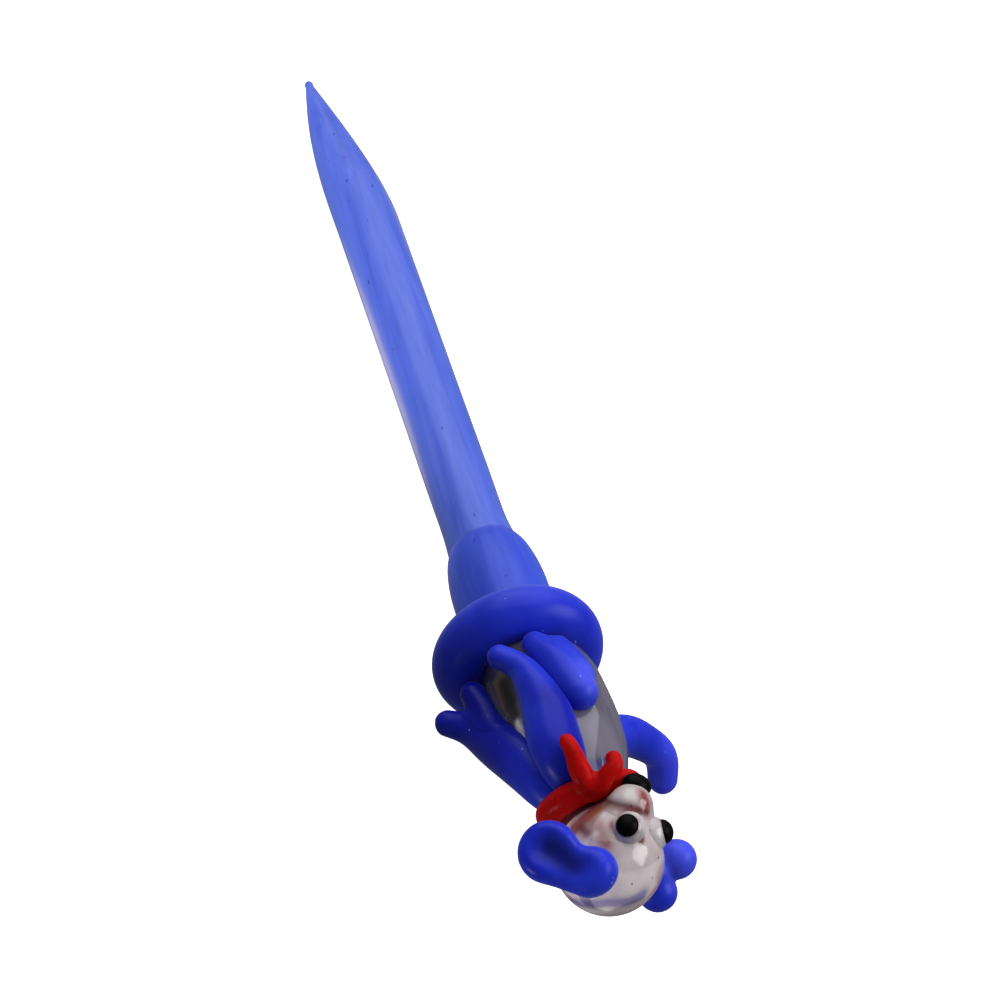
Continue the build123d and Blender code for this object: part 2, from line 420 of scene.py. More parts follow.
def drawn_blue(name, colour, dark, streak, gloss, veil):
    """Blue rod glass: long streaks from the pulling, faint clouds, tiny pits, a milky veil
    and a satin polish."""
    n = Nodes(name)
    lines = n.noise(n.along_pen(0.03), 620, 4, 0.6)
    clouds = n.noise(n.coords, 120, 3)
    pits = n.noise(n.along_pen(0.5), 1100, 2)
    streaks = n.ramp(lines, [(0.34, dark), (0.5, colour), (0.68, streak)])
    tone = n.mix(n.math("MULTIPLY", clouds, 0.6), streaks, colour)
    tone = n.painted_over(tone)
    n.set(Base_Color=n.blend("MULTIPLY", tone, n.ramp(pits, [(0.25, (0.35, 0.35, 0.5)),
                                                            (0.285, (1, 1, 1))])))
    n.set(Roughness=n.math("MULTIPLY_ADD", clouds, 0.15, 0.3), IOR=1.5, Specular_IOR_Level=gloss,
          Subsurface_Weight=0.1, Subsurface_Scale=0.001, Sheen_Weight=veil,
          Sheen_Roughness=0.3)
    n.set(Subsurface_Radius=(0.15, 0.3, 1.0), Sheen_Tint=(0.75, 0.8, 1.0, 1))
    height = n.math("ADD", n.math("MULTIPLY", lines, 0.5), n.math("MULTIPLY", clouds, 0.5))
    n.set(Normal=n.bump(height, 0.00012, 0.3))
    return n.material


def gathered_blue(name, colour, dark):
    """Deeper blue of the worked-on gathers: soft swirls of darker glass, a pale veil and a smooth,
    slightly uneven satin, with tiny painted glints: bright specks added to the colour."""
    n = Nodes(name)
    swirl = n.noise(n.coords, 150, 4, 0.5, 0.6)
    glint_specks = n.noise(n.coords, 1250, 1)
    tone = n.ramp(swirl, [(0.3, dark), (0.62, colour)])
    tone = n.painted_over(tone)
    # painted glints: bright specks added to the base colour
    glints = n.ramp(glint_specks, [(0.77, (0, 0, 0)), (0.8, (0.16, 0.18, 0.4))])
    n.set(Base_Color=n.blend("ADD", tone, glints))
    n.set(Roughness=n.math("MULTIPLY_ADD", swirl, 0.15, 0.26), IOR=1.5, Specular_IOR_Level=0.14,
          Subsurface_Weight=0.1, Subsurface_Scale=0.0012, Sheen_Weight=0.16,
          Sheen_Roughness=0.35)
    n.set(Subsurface_Radius=(0.1, 0.2, 1.0), Sheen_Tint=(0.6, 0.7, 1.0, 1))
    n.set(Normal=n.bump(swirl, 0.00025, 0.3))
    return n.material


def clear_glass(name, tint, dark, clear, stretch):
    """Clear glass that holds faint cords: a lilac tint with darker cords along it, dark seeds, and
    the mesh's own vertex colours laid over it, which hold painted views of the parts around it
    refracted through the glass, painted highlights and painted shade. clear is how much light
    passes, and stretch how short the cords are."""
    n = Nodes(name)
    cords = n.noise(n.along_pen(stretch), 330, 4, 0.55, 0.5)
    seeds = n.noise(n.coords, 1350, 2)
    tone = n.ramp(cords, [(0.32, dark), (0.6, tint)])
    tone = n.painted_over(tone)
    tone = n.blend("MULTIPLY", tone, n.ramp(seeds, [(0.24, (0.12, 0.1, 0.12)),
                                                   (0.285, (1, 1, 1))]))
    n.set(Base_Color=tone, Roughness=n.math("MULTIPLY_ADD", cords, 0.08, 0.05))
    n.set(IOR=1.5, Transmission_Weight=clear)
    n.set(Normal=n.bump(cords, 0.0002, 0.3))
    return n.material


def red_glass(name, colour, dark):
    """Opaque red glass: darker swirls and a wet polish."""
    n = Nodes(name)
    swirl = n.noise(n.coords, 420, 4, 0.6, 0.8)
    n.set(Base_Color=n.ramp(swirl, [(0.32, dark), (0.6, colour)]))
    n.set(Roughness=n.math("MULTIPLY_ADD", swirl, 0.2, 0.2), IOR=1.5, Specular_IOR_Level=0.04,
          Subsurface_Weight=0.1, Subsurface_Scale=0.0006)
    n.set(Subsurface_Radius=(1.0, 0.15, 0.1))
    n.set(Normal=n.bump(swirl, 0.0003, 0.4))
    return n.material


def black_glass(name):
    """Black glass dots: near black with brownish clouds and a soft polish."""
    n = Nodes(name)
    clouds = n.noise(n.coords, 700, 3)
    n.set(Base_Color=n.ramp(clouds, [(0.35, (0.001, 0.001, 0.001)), (0.7, (0.006, 0.004, 0.004))]))
    n.set(Roughness=n.math("MULTIPLY_ADD", clouds, 0.15, 0.28), IOR=1.5, Specular_IOR_Level=0.04)
    n.set(Normal=n.bump(clouds, 0.00006, 0.3))
    return n.material


def milk_glass(name):
    """Milky glass of the eyes: clouded white, darker and reddish where it meets head and pupil."""
    n = Nodes(name)
    clouds = n.noise(n.coords, 620, 3)
    tone = n.ramp(clouds, [(0.35, (0.50, 0.43, 0.46)), (0.65, (0.76, 0.70, 0.73))])
    n.set(Base_Color=n.painted_over(tone))
    n.set(Roughness=n.math("MULTIPLY_ADD", clouds, 0.1, 0.12), IOR=1.5,
          Transmission_Weight=0.2)
    n.set(Normal=n.bump(clouds, 0.00006, 0.3))
    return n.material


def dress(piece, material, slot, *nodes):
    """Gives a finished piece its glass and its body and hides the CAD nodes it stands for; slot is
    not used.
    """
    piece.data.materials.clear()
    piece.data.materials.append(material)
    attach(piece, "root")
    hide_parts(*nodes)


def glass(kind):
    """The glass of that kind, made once from the colours in the panel."""
    have = bpy.data.materials.get(kind)
    if have:
        return have
    tones = bpy.context.scene.pen_glass
    makers = {
        "shaft_blue": lambda: drawn_blue(kind, tones.shaft, tones.shaft_dark, tones.shaft_light,
                                         gloss=0.3, veil=0.4),
        "knop_blue": lambda: drawn_blue(kind, tones.knop, tones.knop_dark, tones.knop_light,
                                        gloss=0.2, veil=0.35),
        "limb_blue": lambda: gathered_blue(kind, tones.limb, tones.limb_dark),
        "torso_clear": lambda: clear_glass(kind, tones.clear, tones.clear_dark, clear=0.3,
                                           stretch=0.25),
        "head_clear": lambda: clear_glass(kind, tones.head, tones.head_dark, clear=0.4,
                                          stretch=0.8),
        "scarf_red": lambda: red_glass(kind, tones.scarf, tones.scarf_dark),
        "dot_black": lambda: black_glass(kind),
        "eye_milk": lambda: milk_glass(kind),
    }
    return makers[kind]()


# --- sizes and colours a user may change -------------------------------------------------
def length(name, about, value):
    return FloatProperty(name=name, description=about, default=value, min=0.01, unit="NONE")


def colour(name, about, value):
    return FloatVectorProperty(name=name, description=about, default=value, size=3,
                               subtype="COLOR", min=0, max=1)


class PenSizes(bpy.types.PropertyGroup):
    """Sizes in millimetres."""
    shaft_r: length("Shaft radius", "Radius of the plain shaft, mm", GRIP["dims"]["r_mm"])
    knop_r: length("Knop radius", "Widest radius of the knop, mm", 6.05)
    ring_r: length("Ring radius", "Radius of the ring's centre line, mm", 7.48)
    ring_tube: length("Ring thickness", "Radius of the ring's own section, mm", 3.5)
    head_r: length("Head radius", "Radius of the head globe, mm", 6.6)
    scarf_tube: length("Scarf thickness", "Radius of the scarf's section, mm", 1.62)
    eye_size: length("Eye size", "How many times their own size the eyes are", 1.0)


class PenGlass(bpy.types.PropertyGroup):
    """Colours of the glasses."""
    shaft: colour("Shaft", "Main blue of the shaft", (0.078, 0.138, 0.66))
    shaft_dark: colour("Shaft, dark streaks", "Darker streaks", (0.052, 0.10, 0.57))
    shaft_light: colour("Shaft, light streaks", "Lighter streaks", (0.112, 0.172, 0.70))
    knop: colour("Knop", "Main blue of the knop", (0.040, 0.085, 0.62))
    knop_dark: colour("Knop, dark streaks", "Darker streaks", (0.026, 0.062, 0.58))
    knop_light: colour("Knop, light streaks", "Lighter streaks", (0.052, 0.105, 0.72))
    limb: colour("Ring and limbs", "Deep blue", (0.018, 0.038, 0.64))
    limb_dark: colour("Ring and limbs, swirls", "Darker swirls", (0.010, 0.022, 0.52))
    clear: colour("Clear glass", "Lightest tint of the torso", (0.18, 0.165, 0.22))
    clear_dark: colour("Clear glass, cords", "Darker cords in the torso", (0.11, 0.10, 0.155))
    head: colour("Head glass", "Lightest tint of the head", (0.86, 0.77, 0.79))
    head_dark: colour("Head glass, cords", "Darker cords in the head", (0.72, 0.60, 0.62))
    scarf: colour("Scarf", "Red of the scarf", (0.5, 0.005, 0.004))
    scarf_dark: colour("Scarf, swirls", "Darker red", (0.38, 0.004, 0.004))


# --- pieces ------------------------------------------------------------------------------
class PEN_OT_shaft(bpy.types.Operator):
    """Shaft, drawn point and its bead"""
    bl_idname = "pen.shaft"
    bl_label = "Shaft and point"

    def execute(self, context):
        r = context.scene.pen_sizes.shaft_r
        blue = glass("shaft_blue")
        stops = [-80, -60, -40, -27, -21.5, -19.2, -17.6]
        radii = np.array([0, -0.01, 0.0, 0.0, 0.06, 0.25, 0.45]) + r
        # painted reflection of the bright floor: pale bands laid along both sides of the shaft and
        # point, palest along the left side
        out, lift = 0.98 * r, 0.18 * r
        cords = paint_by_distance((string([(-104, 1.5, 0.8, -0.5), (-90, 0.88 * out, lift, 0.2),
                                (-78, out, lift, 0.3), (-60, out, lift, -1.2)]),
                        1.3, (0.27, 0.31, 0.70), 0.75),
                       (string([(-82, -out, lift, -1.5), (-64, -out, lift, -0.1),
                                (-50, -out, lift, 0.1), (-36, -out, lift, -0.1),
                                (-22, -out, lift, -1.5)]),
                        0.95, (0.5, 0.48, 0.75), 0.85))
        shaft = turned("shaft_rod", stops, radii, [0, 0, 0, 0, 0.03, 0.1, 0.2], np.zeros(7),
                       painted_light_and_marks=cords)
        dress(shaft, blue, "blue_glass", "shaft_rod")
        # the point: with k from 0 at the tip to 1, radius grows as one less (1 - k) to the
        # power 1.85, and the centre leans as (1 - k squared) to the power 1.7
        k = np.linspace(0, 1, 120)
        shaft_x = TIP_X + POINT_LONG + 0.1      # a tenth of a millimetre inside the shaft
        x = np.concatenate([[TIP_X], TIP_X + POINT_LONG * k, [shaft_x, shaft_x]])
        k = np.concatenate([[0], k, [1, 1]])
        radius = TIP_R + (r - TIP_R) * (1 - (1 - k) ** 1.85)
        radius[[0, -1]] = 0
        lean = TIP_LEAN * (1 - k * k) ** 1.7
        turn = np.linspace(0, 2 * np.pi, 96, endpoint=False)
        grid = np.stack([np.broadcast_to(x[:, None], (len(x), len(turn))),
                         lean[:, None] + radius[:, None] * np.sin(turn),
                         radius[:, None] * np.cos(turn)], -1)
        # the point carries the same painted reflection along its sides
        point = skin("drawn_point", grid, painted_light_and_marks=cords)
        point.data.set_sharp_from_angle(angle=CREASE)
        dress(point, blue, "blue_glass", "drawn_point")
        middle = np.array([TIP_X - 0.15, TIP_LEAN, 0])
        axes = squared_axes((1, 0, 0), (0, 1, 0))
        bead = ball("point_bead", middle, axes, lens(middle, axes, (0.7, 0.6, 0.6)), 32, 48)
        dress(bead, blue, "blue_glass", "point_bead")
        return {"FINISHED"}


class PEN_OT_knop(bpy.types.Operator):
    """Swelling between the shaft and the ring"""
    bl_idname = "pen.knop"
    bl_label = "Knop"

    def execute(self, context):
        wide = context.scene.pen_sizes.knop_r
        stops = [-18.5, -18.1, -17.2, -15.2, -11.3, -7.5, -3.8, 0.5]
        radii = [4.4, 4.62, 5.05, 5.6, wide, 6.0, 5.5, 4.4]
        # painted light: a paler band round the knop beside the ring, where the ring's shade falls,
        # and a paler line along its left side, which the lamps leave darker
        pale = paint_by_distance((hoop(-3.2, 6, 0.2, 60), 1.4, (0.085, 0.16, 0.76), 0.8),
                      (string([(-17.5, -4.6, 1.5, 0.2), (-11, -5.7, 1.6, 0.4),
                               (-4, -5.4, 1.6, 0.2)]), 1.8, (0.085, 0.15, 0.92), 0.8))
        piece = turned("shoulder_knop", stops, radii, np.full(8, 0.3), np.zeros(8), much=0.004,
                       painted_light_and_marks=pale)
        dress(piece, glass("knop_blue"), "blue_glass", "shoulder_knop")
        return {"FINISHED"}


class PEN_OT_ring(bpy.types.Operator):
    """Collar ring round the pen"""
    bl_idname = "pen.ring"
    bl_label = "Collar ring"

    def execute(self, context):
        sizes = context.scene.pen_sizes
        # a circle carried round a circle, both radii swelling slowly with the turn, and
        # sagged flat where the ring rests
        turn = np.linspace(0, 2 * np.pi, 160, endpoint=False)[:, None]
        tube = np.linspace(0, 2 * np.pi, 72, endpoint=False)[None]
        thick = sizes.ring_tube * (1 + 0.03 * np.cos(turn + 1.9) + 0.012 * np.sin(3 * turn))
        far = sizes.ring_r * (1 + 0.012 * np.cos(2 * turn + 0.6)) + thick * np.cos(tube)
        far = far - RING_FLAT * (0.5 - 0.5 * np.cos(turn)) ** 2
        grid = np.stack([0.1 + thick * np.sin(tube) + 0 * turn,
                         -0.08 + far * np.sin(turn), far * np.cos(turn)], -1)
        # painted highlight: a paler band round the ring's outer edge on the shaft side, where the
        # light falls
        ring_highlight = hoop(-2.2, sizes.ring_r + 2.2, 0.3, 80)
        piece = skin("collar_ring", grid, tube_closed=True,
                     painted_light_and_marks=paint_by_distance((ring_highlight, 1.8, (0.075, 0.105, 0.74), 0.8)))
        dress(piece, glass("limb_blue"), "blue_glass", "collar_ring")
        return {"FINISHED"}


class PEN_OT_torso(bpy.types.Operator):
    """Clear body of the figure"""
    bl_idname = "pen.torso"
    bl_label = "Torso"

    def execute(self, context):
        stops = [0.6, 1.8, 4.2, 8.0, 13.0, 18.0, 22.0, 25.5, 29.0]
        radii = [4.2, 5.3, 6.7, 7.2, 7.0, 6.55, 5.55, 4.3, 3.7]
        sway = [0.1, 0.4, 0.9, 1.4, 2.0, 2.3, 2.2, 2.0, 1.9]
        # painted views through the glass and painted light: dark and black bands with amber edges
        # where the limbs and their shadow show refracted, a painted white highlight, a paler lilac
        # patch painted on the low-lit side toward the head, a dark blue band by the neck, and red
        # and brown patches where the scarf shows refracted
        through = paint_by_distance(
            (string([(3.5, -5.3, 3.0, 0.8), (12.5, -5.4, 3.4, 1.0)]), 1.4,
             (0.05, 0.045, 0.09), 0.9),
            (string([(7.6, -4.6, 4.3, 0.2), (10.0, -4.6, 4.0, 0.3)]), 0.8, (0.25, 0.12, 0.03), 0.7),
            (string([(8.6, -4.1, 4.8, 0.3), (12.8, -4.1, 4.3, 0.5)]), 0.8,
             (0.006, 0.004, 0.005), 0.97),
            (string([(14.2, -3.9, 3.9, 0.1), (15.8, -3.9, 3.4, 0.5)]), 0.45, (1.0, 0.96, 1.0), 1.0),
            (string([(19.0, 4.8, 6.1, 0.8), (21.5, 5.6, 4.8, 1.0)]), 1.5, (0.25, 0.235, 0.31), 0.8),
            (string([(6.3, -5.5, 2.2, 0.5), (11.5, -5.2, 2.6, 0.3)]), 0.5, (0.2, 0.18, 0.2), 0.6),
            (np.array([[29.0, 1.9, 0.3, 4.2]]), 1.0, (0.2, 0.025, 0.03), 0.9),
            (string([(23.9, 2.4, 5.3, 0.3), (23.7, 5.6, 4.0, 0.4)]), 0.7, (0.05, 0.05, 0.2), 0.85),
            (string([(19.6, -3.3, 1.4, 0.3), (23.5, -2.6, 2.4, 0.3)]), 0.7, (0.2, 0.05, 0.02), 0.6),
        )
        piece = turned("torso", stops, radii, sway, np.full(9, 0.3), count=200, around=160,
                       much=0.006, painted_light_and_marks=through)
        dress(piece, glass("torso_clear"), "clear_glass", "torso")
        return {"FINISHED"}


class PEN_OT_limbs(bpy.types.Operator):
    """Arms, legs and their toes"""
    bl_idname = "pen.limbs"
    bl_label = "Arms and legs"

    def execute(self, context):
        limbs = {
            "left_leg": [(24.6, -1.0, 0.2, 2.2), (22.6, -2.0, 0.6, 2.85), (19.4, -3.1, 0.7, 3.35),
                         (15.5, -4.7, 0.1, 3.4), (12.0, -6.5, -0.8, 2.8),
                         (8.8, -8.8, -1.4, 1.95), (7.2, -10.9, -1.6, 1.65)],
            "left_leg_toe": [(14.5, -5.3, -0.3, 2.1), (11.0, -6.0, 0.2, 1.95),
                             (8.0, -6.7, 0.6, 1.75), (5.6, -7.3, 1.0, 1.6)],
            "left_arm": [(24.2, -0.4, 4.6, 2.4), (22.9, -0.6, 5.8, 3.0), (20.0, -0.8, 6.8, 3.25),
                         (16.6, -0.8, 7.4, 3.0), (12.2, -1.2, 7.8, 2.3), (8.6, -2.3, 7.9, 1.7),
                         (6.8, -4.1, 8.1, 1.55)],
            "right_leg": [(14.6, 3.7, 7.9, 2.4), (11.8, 2.9, 8.0, 2.5), (8.4, 1.8, 7.9, 2.1),
                          (5.3, 0.7, 7.4, 1.6)],
            "right_leg_toe": [(11.5, 4.6, 7.0, 2.0), (8.8, 4.1, 7.2, 1.75), (6.6, 3.3, 7.4, 1.5)],
            "right_arm": [(16.4, 6.8, 0.6, 2.5), (15.2, 8.8, -0.9, 2.6), (14.6, 11.8, -3.8, 2.3),
                          (14.8, 13.9, -7.0, 2.1), (15.9, 13.9, -9.8, 1.9)],
        }
        balls = {name: string(stations) for name, stations in limbs.items()}
        friend = {"left_leg": "left_leg_toe", "right_leg": "right_leg_toe"}
        friend.update({toe: leg for leg, toe in friend.items()})
        shade, glow = (0.005, 0.009, 0.34), (0.07, 0.095, 0.8)
        # painted shade on the left limbs and toes, which face away from the light, and painted
        # light on the lit ends of the right arm and leg
        painted_shading = {
            "left_leg_toe": paint_by_distance((balls["left_leg_toe"], 3.0, (0.003, 0.006, 0.3), 1.0)),
            "left_leg": paint_by_distance((string([(7.0, -11.0, -1.0, 1.0), (14.0, -5.5, 1.0, 1.5)]), 2.0,
                                shade, 0.75), (balls["left_leg_toe"], 2.5, shade, 0.9)),
            "left_arm": paint_by_distance((string([(24.5, 0.0, 6.0, 1.5), (20.5, 0.6, 9.0, 0.8),
                                        (16.0, 0.3, 9.8, 0.3)]), 2.0, shade, 0.9)),
            "right_arm": paint_by_distance((string([(14.8, 14.5, -6.5, 1.9), (15.9, 14.5, -9.0, 1.9)]), 1.5,
                                 (0.045, 0.065, 0.8), 0.8)),
            "right_leg": paint_by_distance((string([(14.5, 5.5, 9.5, 0.5), (13.0, 5.5, 9.5, 0.5)]), 1.8,
                                 glow, 0.8)),
        }
        for seed, name in enumerate(limbs):
            near_by = [balls[name]] + ([balls[friend[name]]] if name in friend else [])
            piece = limb(name, balls[name], flow(near_by, 1.3), seed=0.7 + seed,
                         painted_light_and_marks=painted_shading.get(name))
            dress(piece, glass("limb_blue"), "blue_glass", name)
        return {"FINISHED"}


class PEN_OT_scarf(bpy.types.Operator):
    """Scarf band and its two tails"""
    bl_idname = "pen.scarf"
    bl_label = "Scarf"

    def execute(self, context):
        thick = context.scene.pen_sizes.scarf_tube
        red = glass("scarf_red")
        tails = {
            "scarf_tail_left": string([(28.6, 1.6, 6.6, 1.4), (28.1, 0.8, 8.0, 1.35),
                                       (27.0, 0.3, 9.2, 1.25), (25.6, 0.1, 10.1, 1.1),
                                       (24.1, -0.3, 10.6, 0.95)]),
            "scarf_tail_right": string([(28.8, 2.0, 6.6, 1.2), (28.9, 2.8, 7.9, 1.15),
                                        (28.5, 3.7, 8.7, 1.1), (27.9, 4.5, 9.2, 1.05),
                                        (27.1, 4.6, 9.4, 0.95)]),
        }
        middle = np.array([26.1, 1.96, 1.1])
        normal, one, two = squared_axes((1, 0.12, -0.38), (0, 1, 0.2))
        turn = np.linspace(0, 2 * np.pi, 150, endpoint=False)
        path = middle + 5.2 * (np.cos(turn)[:, None] * one + np.sin(turn)[:, None] * two)
        width = thick * (1 + 0.06 * np.sin(3 * turn + 0.4) + 0.03 * np.sin(7 * turn))
        band_balls = np.concatenate([path, width[:, None]], 1)
        field = flow([band_balls, *tails.values()], 0.9)
        out = unit(path - middle)
        tube = np.linspace(0, 2 * np.pi, 56, endpoint=False)
        ways = np.cos(tube)[:, None] * out[:, None] + np.sin(tube)[:, None] * normal
        reach = grow(path[:, None], ways, own_share(field, band_balls))
        band = skin("scarf_band", path[:, None] + reach[..., None] * ways, tube_closed=True)
        dress(band, red, "red_glass", "scarf_band")
        for seed, (name, balls) in enumerate(tails.items()):
            dress(limb(name, balls, field, seed=3.0 + seed, much=0.03), red, "red_glass", name)
        return {"FINISHED"}


SNOUT = string([(*from_head(3.6, 0.2, -0.4), 3.6), (*from_head(5.6, 0.1, 0.0), 3.2),
                (*from_head(7.0, -0.4, 0.5), 2.7)])
# per eye: its middle, the pupil's middle, the way it looks, radius of the white and the pupil
EYES = {"left": (from_head(5.3, -3.0, 3.9), from_head(5.58, -3.87, 4.3), (0.36, -0.62, 0.7),
                 1.95, 1.42),
        "right": (from_head(4.8, 2.0, 3.1), from_head(5.42, 2.85, 3.8), (0.62, 0.16, 0.77),
                  2.15, 1.5)}


class PEN_OT_head(bpy.types.Operator):
    """Head globe and muzzle with its black nose"""
    bl_idname = "pen.head"
    bl_label = "Head and nose"

    def execute(self, context):
        r = context.scene.pen_sizes.head_r
        axes = (FACE, SIDE, CROWN)

        def line(*stops, width=0.1):
            return string([(*from_head(*stop), width) for stop in stops])

        # painted light on head and snout: red, orange and pink patches where the scarf shows
        # refracted through the glass, a dark red line along the snout's crease, lilac and white
        # bands painted on the shaded lower side where the bright floor shows through, and painted
        # white highlights; rims are red-brown outlines round the feet of the eyes
        rims = [(ring_of_balls(side, 1.05), 0.34, (0.26, 0.04, 0.05), 0.95) for side in EYES]
        outlines_and_painted_light = paint_by_distance(
            (line((2.4, -5.8, -1.7), (3.4, -5.4, -1.5), (4.6, -4.8, -1.5), (5.9, -3.4, -1.9),
                  (6.6, -2.0, -2.6), width=0.5), 0.9, (0.36, 0.06, 0.07), 0.95),
            (line((4.4, -4.8, -0.8), (5.8, -3.75, -0.85), (6.4, -3.4, -0.5)), 0.55,
             (0.42, 0.14, 0.045), 0.75),
            (line((6.76, -2.3, -2.2), (7.0, -3.0, 0.0), (7.35, -2.6, 2.0), (7.35, -1.5, 2.9),
                  (7.3, -0.3, 3.2)), 0.42, (0.14, 0.014, 0.012), 0.97),
            (line((6.5, -3.3, 0.5), (6.7, -2.3, 2.5)), 0.45, (0.6, 0.3, 0.3), 0.5),
            (line((4.6, -5.3, 0.6), (3.9, -5.3, 1.7), (2.8, -5.2, 3.2)), 0.95,
             (0.40, 0.14, 0.15), 0.9),
            (line((3.4, -5.9, -0.9), (2.9, -6.0, 1.2)), 0.6, (0.2, 0.03, 0.03), 0.85),
            (line((-5.6, -3.4, -0.4), (-5.0, -3.3, 2.5), (-3.9, -2.3, 4.8), (-3.1, -0.6, 5.9),
                  (-1.9, 0.6, 6.3), width=0.3), 0.65, (0.22, 0.2, 0.46), 0.95),
            (line((-6.3, -2.0, -1.5), (-6.2, -1.9, 1.5), (-5.2, -1.4, 3.8)), 0.7,
             (1.0, 1.0, 0.97), 0.95),
            (line((0.4, 3.3, 5.6), (-1.4, 2.6, 5.95)), 0.5, (0.7, 0.16, 0.16), 0.7),
            (line((3.2, -5.4, 1.5), (2.0, -6.0, 1.2)), 0.4, (0.95, 0.9, 0.9), 0.8),
            (line((9.1, -1.0, 2.1), (8.2, -0.6, 2.9)), 0.75, (0.36, 0.06, 0.05), 0.95),
            (line((8.5, -2.7, 1.0), (8.3, -2.4, -1.0)), 0.9, (0.95, 0.92, 0.94), 0.85),
            *rims,
        )
        globe = np.array([[*HEAD_MID, r]])
        field = flow([globe, SNOUT], 1.6)
        head = ball("head", HEAD_MID, axes, own_share(field, globe), 170, 220, outlines_and_painted_light)
        dress(head, glass("head_clear"), "clear_glass", "head")
        snout = limb("snout", SNOUT, lambda p: field(p) - 0.05, seed=5.0, much=0.0, painted_light_and_marks=outlines_and_painted_light)
        dress(snout, glass("head_clear"), "clear_glass", "snout")
        middle = from_head(9.5, 0.5, -0.6)
        nose = ball("nose", middle, axes, lens(middle, axes, (1.35, 1.95, 1.7)), 40, 64)
        dress(nose, glass("dot_black"), "black_glass", "nose")
        return {"FINISHED"}


def eye_axes(side):
    """The way an eye looks, and two directions square to it."""
    look = EYES[side][2]
    return squared_axes(look[0] * FACE + look[1] * SIDE + look[2] * CROWN, FACE + 0.3 * CROWN)


def ring_of_balls(side, wider):
    """Thin balls on a circle round the foot of an eye, so many times wider than its white."""
    look, one, two = eye_axes(side)
    radius = EYES[side][3] * wider
    turn = np.linspace(0, 2 * np.pi, 60, endpoint=False)[:, None]
    path = EYES[side][0] - 0.6 * look + radius * (np.cos(turn) * one + np.sin(turn) * two)
    return np.concatenate([path, np.full((60, 1), 0.1)], 1)


class PEN_OT_eyes(bpy.types.Operator):
    """Eyes and pupils"""
    bl_idname = "pen.eyes"
    bl_label = "Eyes"

    def execute(self, context):
        wide = context.scene.pen_sizes.eye_size
        for side, (eye, pupil, _, r, dot_r) in EYES.items():
            axes = eye_axes(side)
            r, dot_r = r * wide, dot_r * wide
            halo = paint_by_distance((np.array([[*pupil, dot_r]]), 0.12, (0.3, 0.2, 0.22), 0.6),
                          (ring_of_balls(side, 1.0), 0.22, (0.5, 0.2, 0.2), 0.6))
            white = ball("eye_" + side, eye, axes, lens(eye, axes, (r * 0.85, r, r)),
                         72, 96, halo)
            dress(white, glass("eye_milk"), "clear_glass", "eye_" + side)
            dot = ball("pupil_" + side, pupil, axes,
                       lens(pupil, axes, (dot_r * 0.8, dot_r, dot_r)), 40, 64)
            dress(dot, glass("dot_black"), "black_glass", "pupil_" + side)
        return {"FINISHED"}


class PEN_OT_ears(bpy.types.Operator):
    """Pressed ears"""
    bl_idname = "pen.ears"
    bl_label = "Ears"

    def execute(self, context):
        blue = glass("limb_blue")
        # two lobes melted together, then a long groove pressed into the outer face
        upper, lower = from_head(-0.05, -9.66, -0.7), from_head(-0.57, -5.6, 3.4)
        lobes = [np.array([[*upper, 3.6]]), np.array([[*lower, 2.85]]),
                 string([(*from_head(-0.7, -9.7, -0.7), 3.1), (*from_head(-1.2, -6.1, 3.2), 2.7)])]
        thumb = string([(*from_head(0.9, -12.6, 0.9), 2.1), (*from_head(-0.1, -9.7, 4.3), 1.8)])
        whole = flow(lobes, 0.8)
        # painted shade: a dark band along the pressed groove
        painted_shading = paint_by_distance((string([(*from_head(0.5, -10.9, 0.6), 0.3),
                               (*from_head(-0.3, -8.9, 2.7), 0.1)]),
                       1.5, (0.004, 0.006, 0.11), 0.85))
        left = ball("ear_left", from_head(-0.3, -7.7, 1.2),
                    squared_axes(CROWN + 0.5 * SIDE - 0.1 * FACE, FACE),
                    lambda p: -melt(-whole(p), near(p, thumb), 2.4), 110, 150, painted_shading)
        dress(left, blue, "blue_glass", "ear_left")
        front, rear = from_head(1.95, 8.65, 2.28), from_head(-2.5, 7.95, 1.96)
        lobes = [np.array([[*front, 2.45]]), np.array([[*rear, 2.4]]),
                 np.array([[*from_head(-0.3, 6.6, 1.0), 2.6]])]
        # painted light: the front lobe painted paler where the light from the right falls
        right = ball("ear_right", from_head(-0.3, 7.6, 1.6),
                     squared_axes(FACE + 0.15 * CROWN, CROWN), flow(lobes, 0.7), 100, 130,
                     paint_by_distance((lobes[0], 1.5, (0.06, 0.085, 0.82), 0.9)))
        dress(right, blue, "blue_glass", "ear_right")
        return {"FINISHED"}


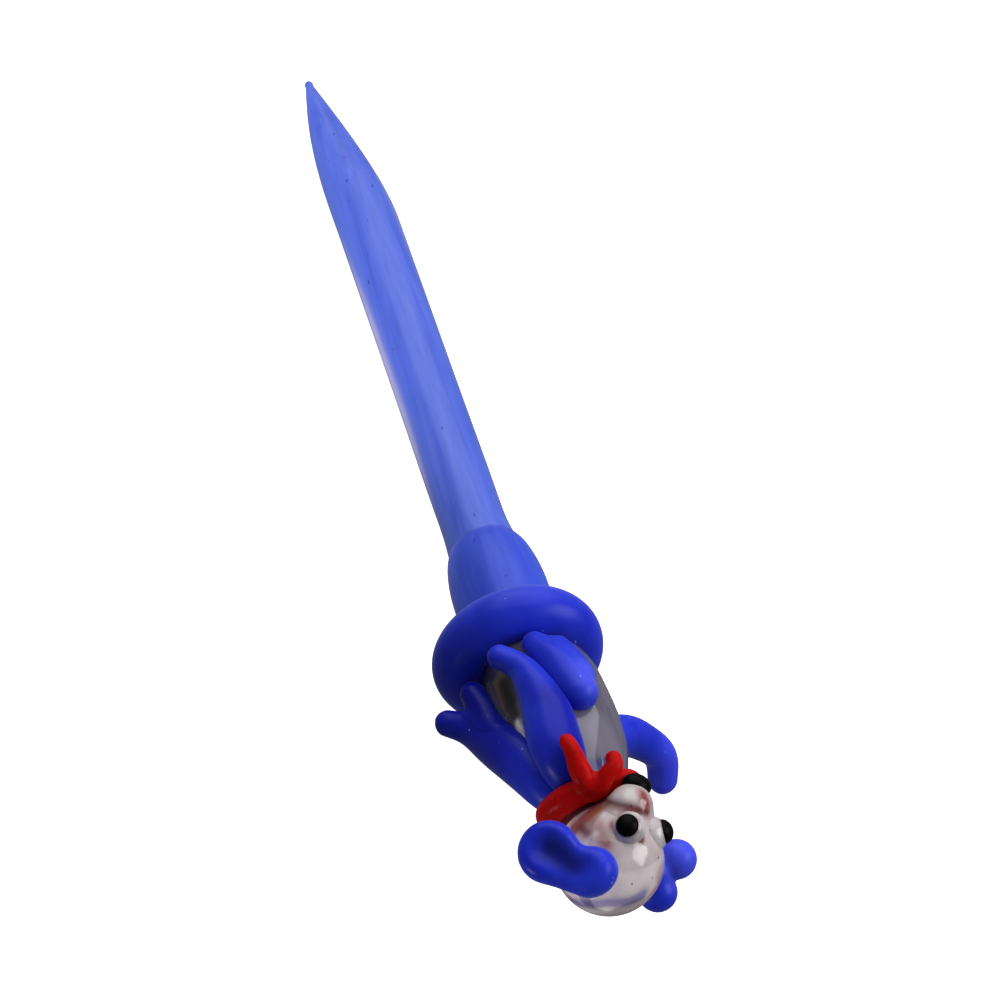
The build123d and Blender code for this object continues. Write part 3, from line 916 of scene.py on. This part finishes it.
class PEN_OT_stage(bpy.types.Operator):
    """Pale floor, soft light and the camera"""
    bl_idname = "pen.stage"
    bl_label = "Stage"

    def execute(self, context):
        scene = context.scene
        scene.view_settings.view_transform = "Standard"
        mesh = bpy.data.meshes.new("floor")
        half = 3.0            # metres from the middle to the floor's edge
        mesh.from_pydata([(-half, -half, 0), (half, -half, 0), (half, half, 0), (-half, half, 0)],
                         [], [(0, 1, 2, 3)])
        floor = bpy.data.objects.new("floor", mesh)
        scene.collection.objects.link(floor)
        n = Nodes("paper_white")
        grain = n.noise(n.coords, 40, 3)
        n.set(Base_Color=n.ramp(grain, [(0.3, (0.93, 0.93, 0.93)), (0.7, (0.95, 0.95, 0.95))]),
              Roughness=0.9, Emission_Color=(1, 1, 1, 1), Emission_Strength=1.0)
        mesh.materials.append(n.material)
        floor.visible_diffuse = False
        floor.visible_glossy = False

        world = bpy.data.worlds.new("studio")
        scene.world = world
        world.use_nodes = True
        sky = world.node_tree.nodes["Background"]
        sky.inputs["Color"].default_value = (1, 1, 1, 1)
        sky.inputs["Strength"].default_value = 0.16

        def lamp(name, place, aim, size, watts, spread=180):
            data = bpy.data.lights.new(name, "AREA")
            data.shape, data.size, data.size_y, data.energy = "RECTANGLE", *size, watts
            data.spread = np.radians(spread)
            obj = bpy.data.objects.new(name, data)
            obj.location = place
            obj.rotation_euler = (Vector(aim) - Vector(place)).to_track_quat("-Z", "Y").to_euler()
            obj.visible_camera = False
            scene.collection.objects.link(obj)

        lamp("softbox_over", (-0.5, 0.26, 0.8), (0, 0, 0), (1.3, 1.3), 10.8)
        lamp("softbox_right", (0.3, 0.8, 0.4), (0, 0, 0), (0.6, 0.5), 5.0)
        lamp("strip_left", (-0.06, -0.1, 0.022), (-0.054, 0, 0.01), (0.12, 0.03), 0.012, 36)
        lamp("card_low", (0.09, -0.05, 0.004), (0.07, 0, 0.012), (0.03, 0.02), 0.0015, 50)

        camera_data = bpy.data.cameras.new("camera")
        camera_data.lens, camera_data.sensor_width = 175.28, 36.0
        camera_data.clip_start, camera_data.clip_end = 0.01, 20
        camera = bpy.data.objects.new("camera", camera_data)
        scene.collection.objects.link(camera)
        # the way the camera looks, and where it stands from the ring's middle, mm
        azimuth, elevation = np.radians(75.51), np.radians(50.55)
        right = np.array([np.cos(azimuth), np.sin(azimuth), 0])
        up = np.array([-np.sin(elevation) * np.sin(azimuth), np.sin(elevation) * np.cos(azimuth),
                       np.cos(elevation)])
        back = np.cross(right, up)
        spot = PEN_ORIGIN + (-2.391 * right + 19.1 * up + 600 * back) * MM
        matrix = np.eye(4)
        matrix[:3, 0], matrix[:3, 1], matrix[:3, 2], matrix[:3, 3] = right, up, back, spot
        camera.matrix_world = Matrix(matrix.tolist())
        scene.camera = camera
        return {"FINISHED"}


STEPS = (PEN_OT_shaft, PEN_OT_knop, PEN_OT_ring, PEN_OT_torso, PEN_OT_limbs, PEN_OT_scarf,
         PEN_OT_head, PEN_OT_eyes, PEN_OT_ears, PEN_OT_stage)


class PEN_PT_panel(bpy.types.Panel):
    """Lists the steps and the values they read."""
    bl_label = "Glass pen"
    bl_idname = "PEN_PT_panel"
    bl_space_type = "VIEW_3D"
    bl_region_type = "UI"
    bl_category = "Glass pen"

    def draw(self, context):
        for group in (context.scene.pen_sizes, context.scene.pen_glass):
            box = self.layout.box()
            for key in group.bl_rna.properties.keys():
                if key not in {"rna_type", "name"}:
                    box.prop(group, key)
        for step in STEPS:
            self.layout.operator(step.bl_idname)


CLASSES = (PenSizes, PenGlass, *STEPS, PEN_PT_panel)


def register():
    for cls in CLASSES:
        bpy.utils.register_class(cls)
    bpy.types.Scene.pen_sizes = PointerProperty(type=PenSizes)
    bpy.types.Scene.pen_glass = PointerProperty(type=PenGlass)


def unregister():
    del bpy.types.Scene.pen_glass
    del bpy.types.Scene.pen_sizes
    for cls in reversed(CLASSES):
        bpy.utils.unregister_class(cls)


def main():
    register()
    for step in STEPS:
        group, name = step.bl_idname.split(".")
        getattr(getattr(bpy.ops, group), name)()


if __name__ == "__main__":
    main()
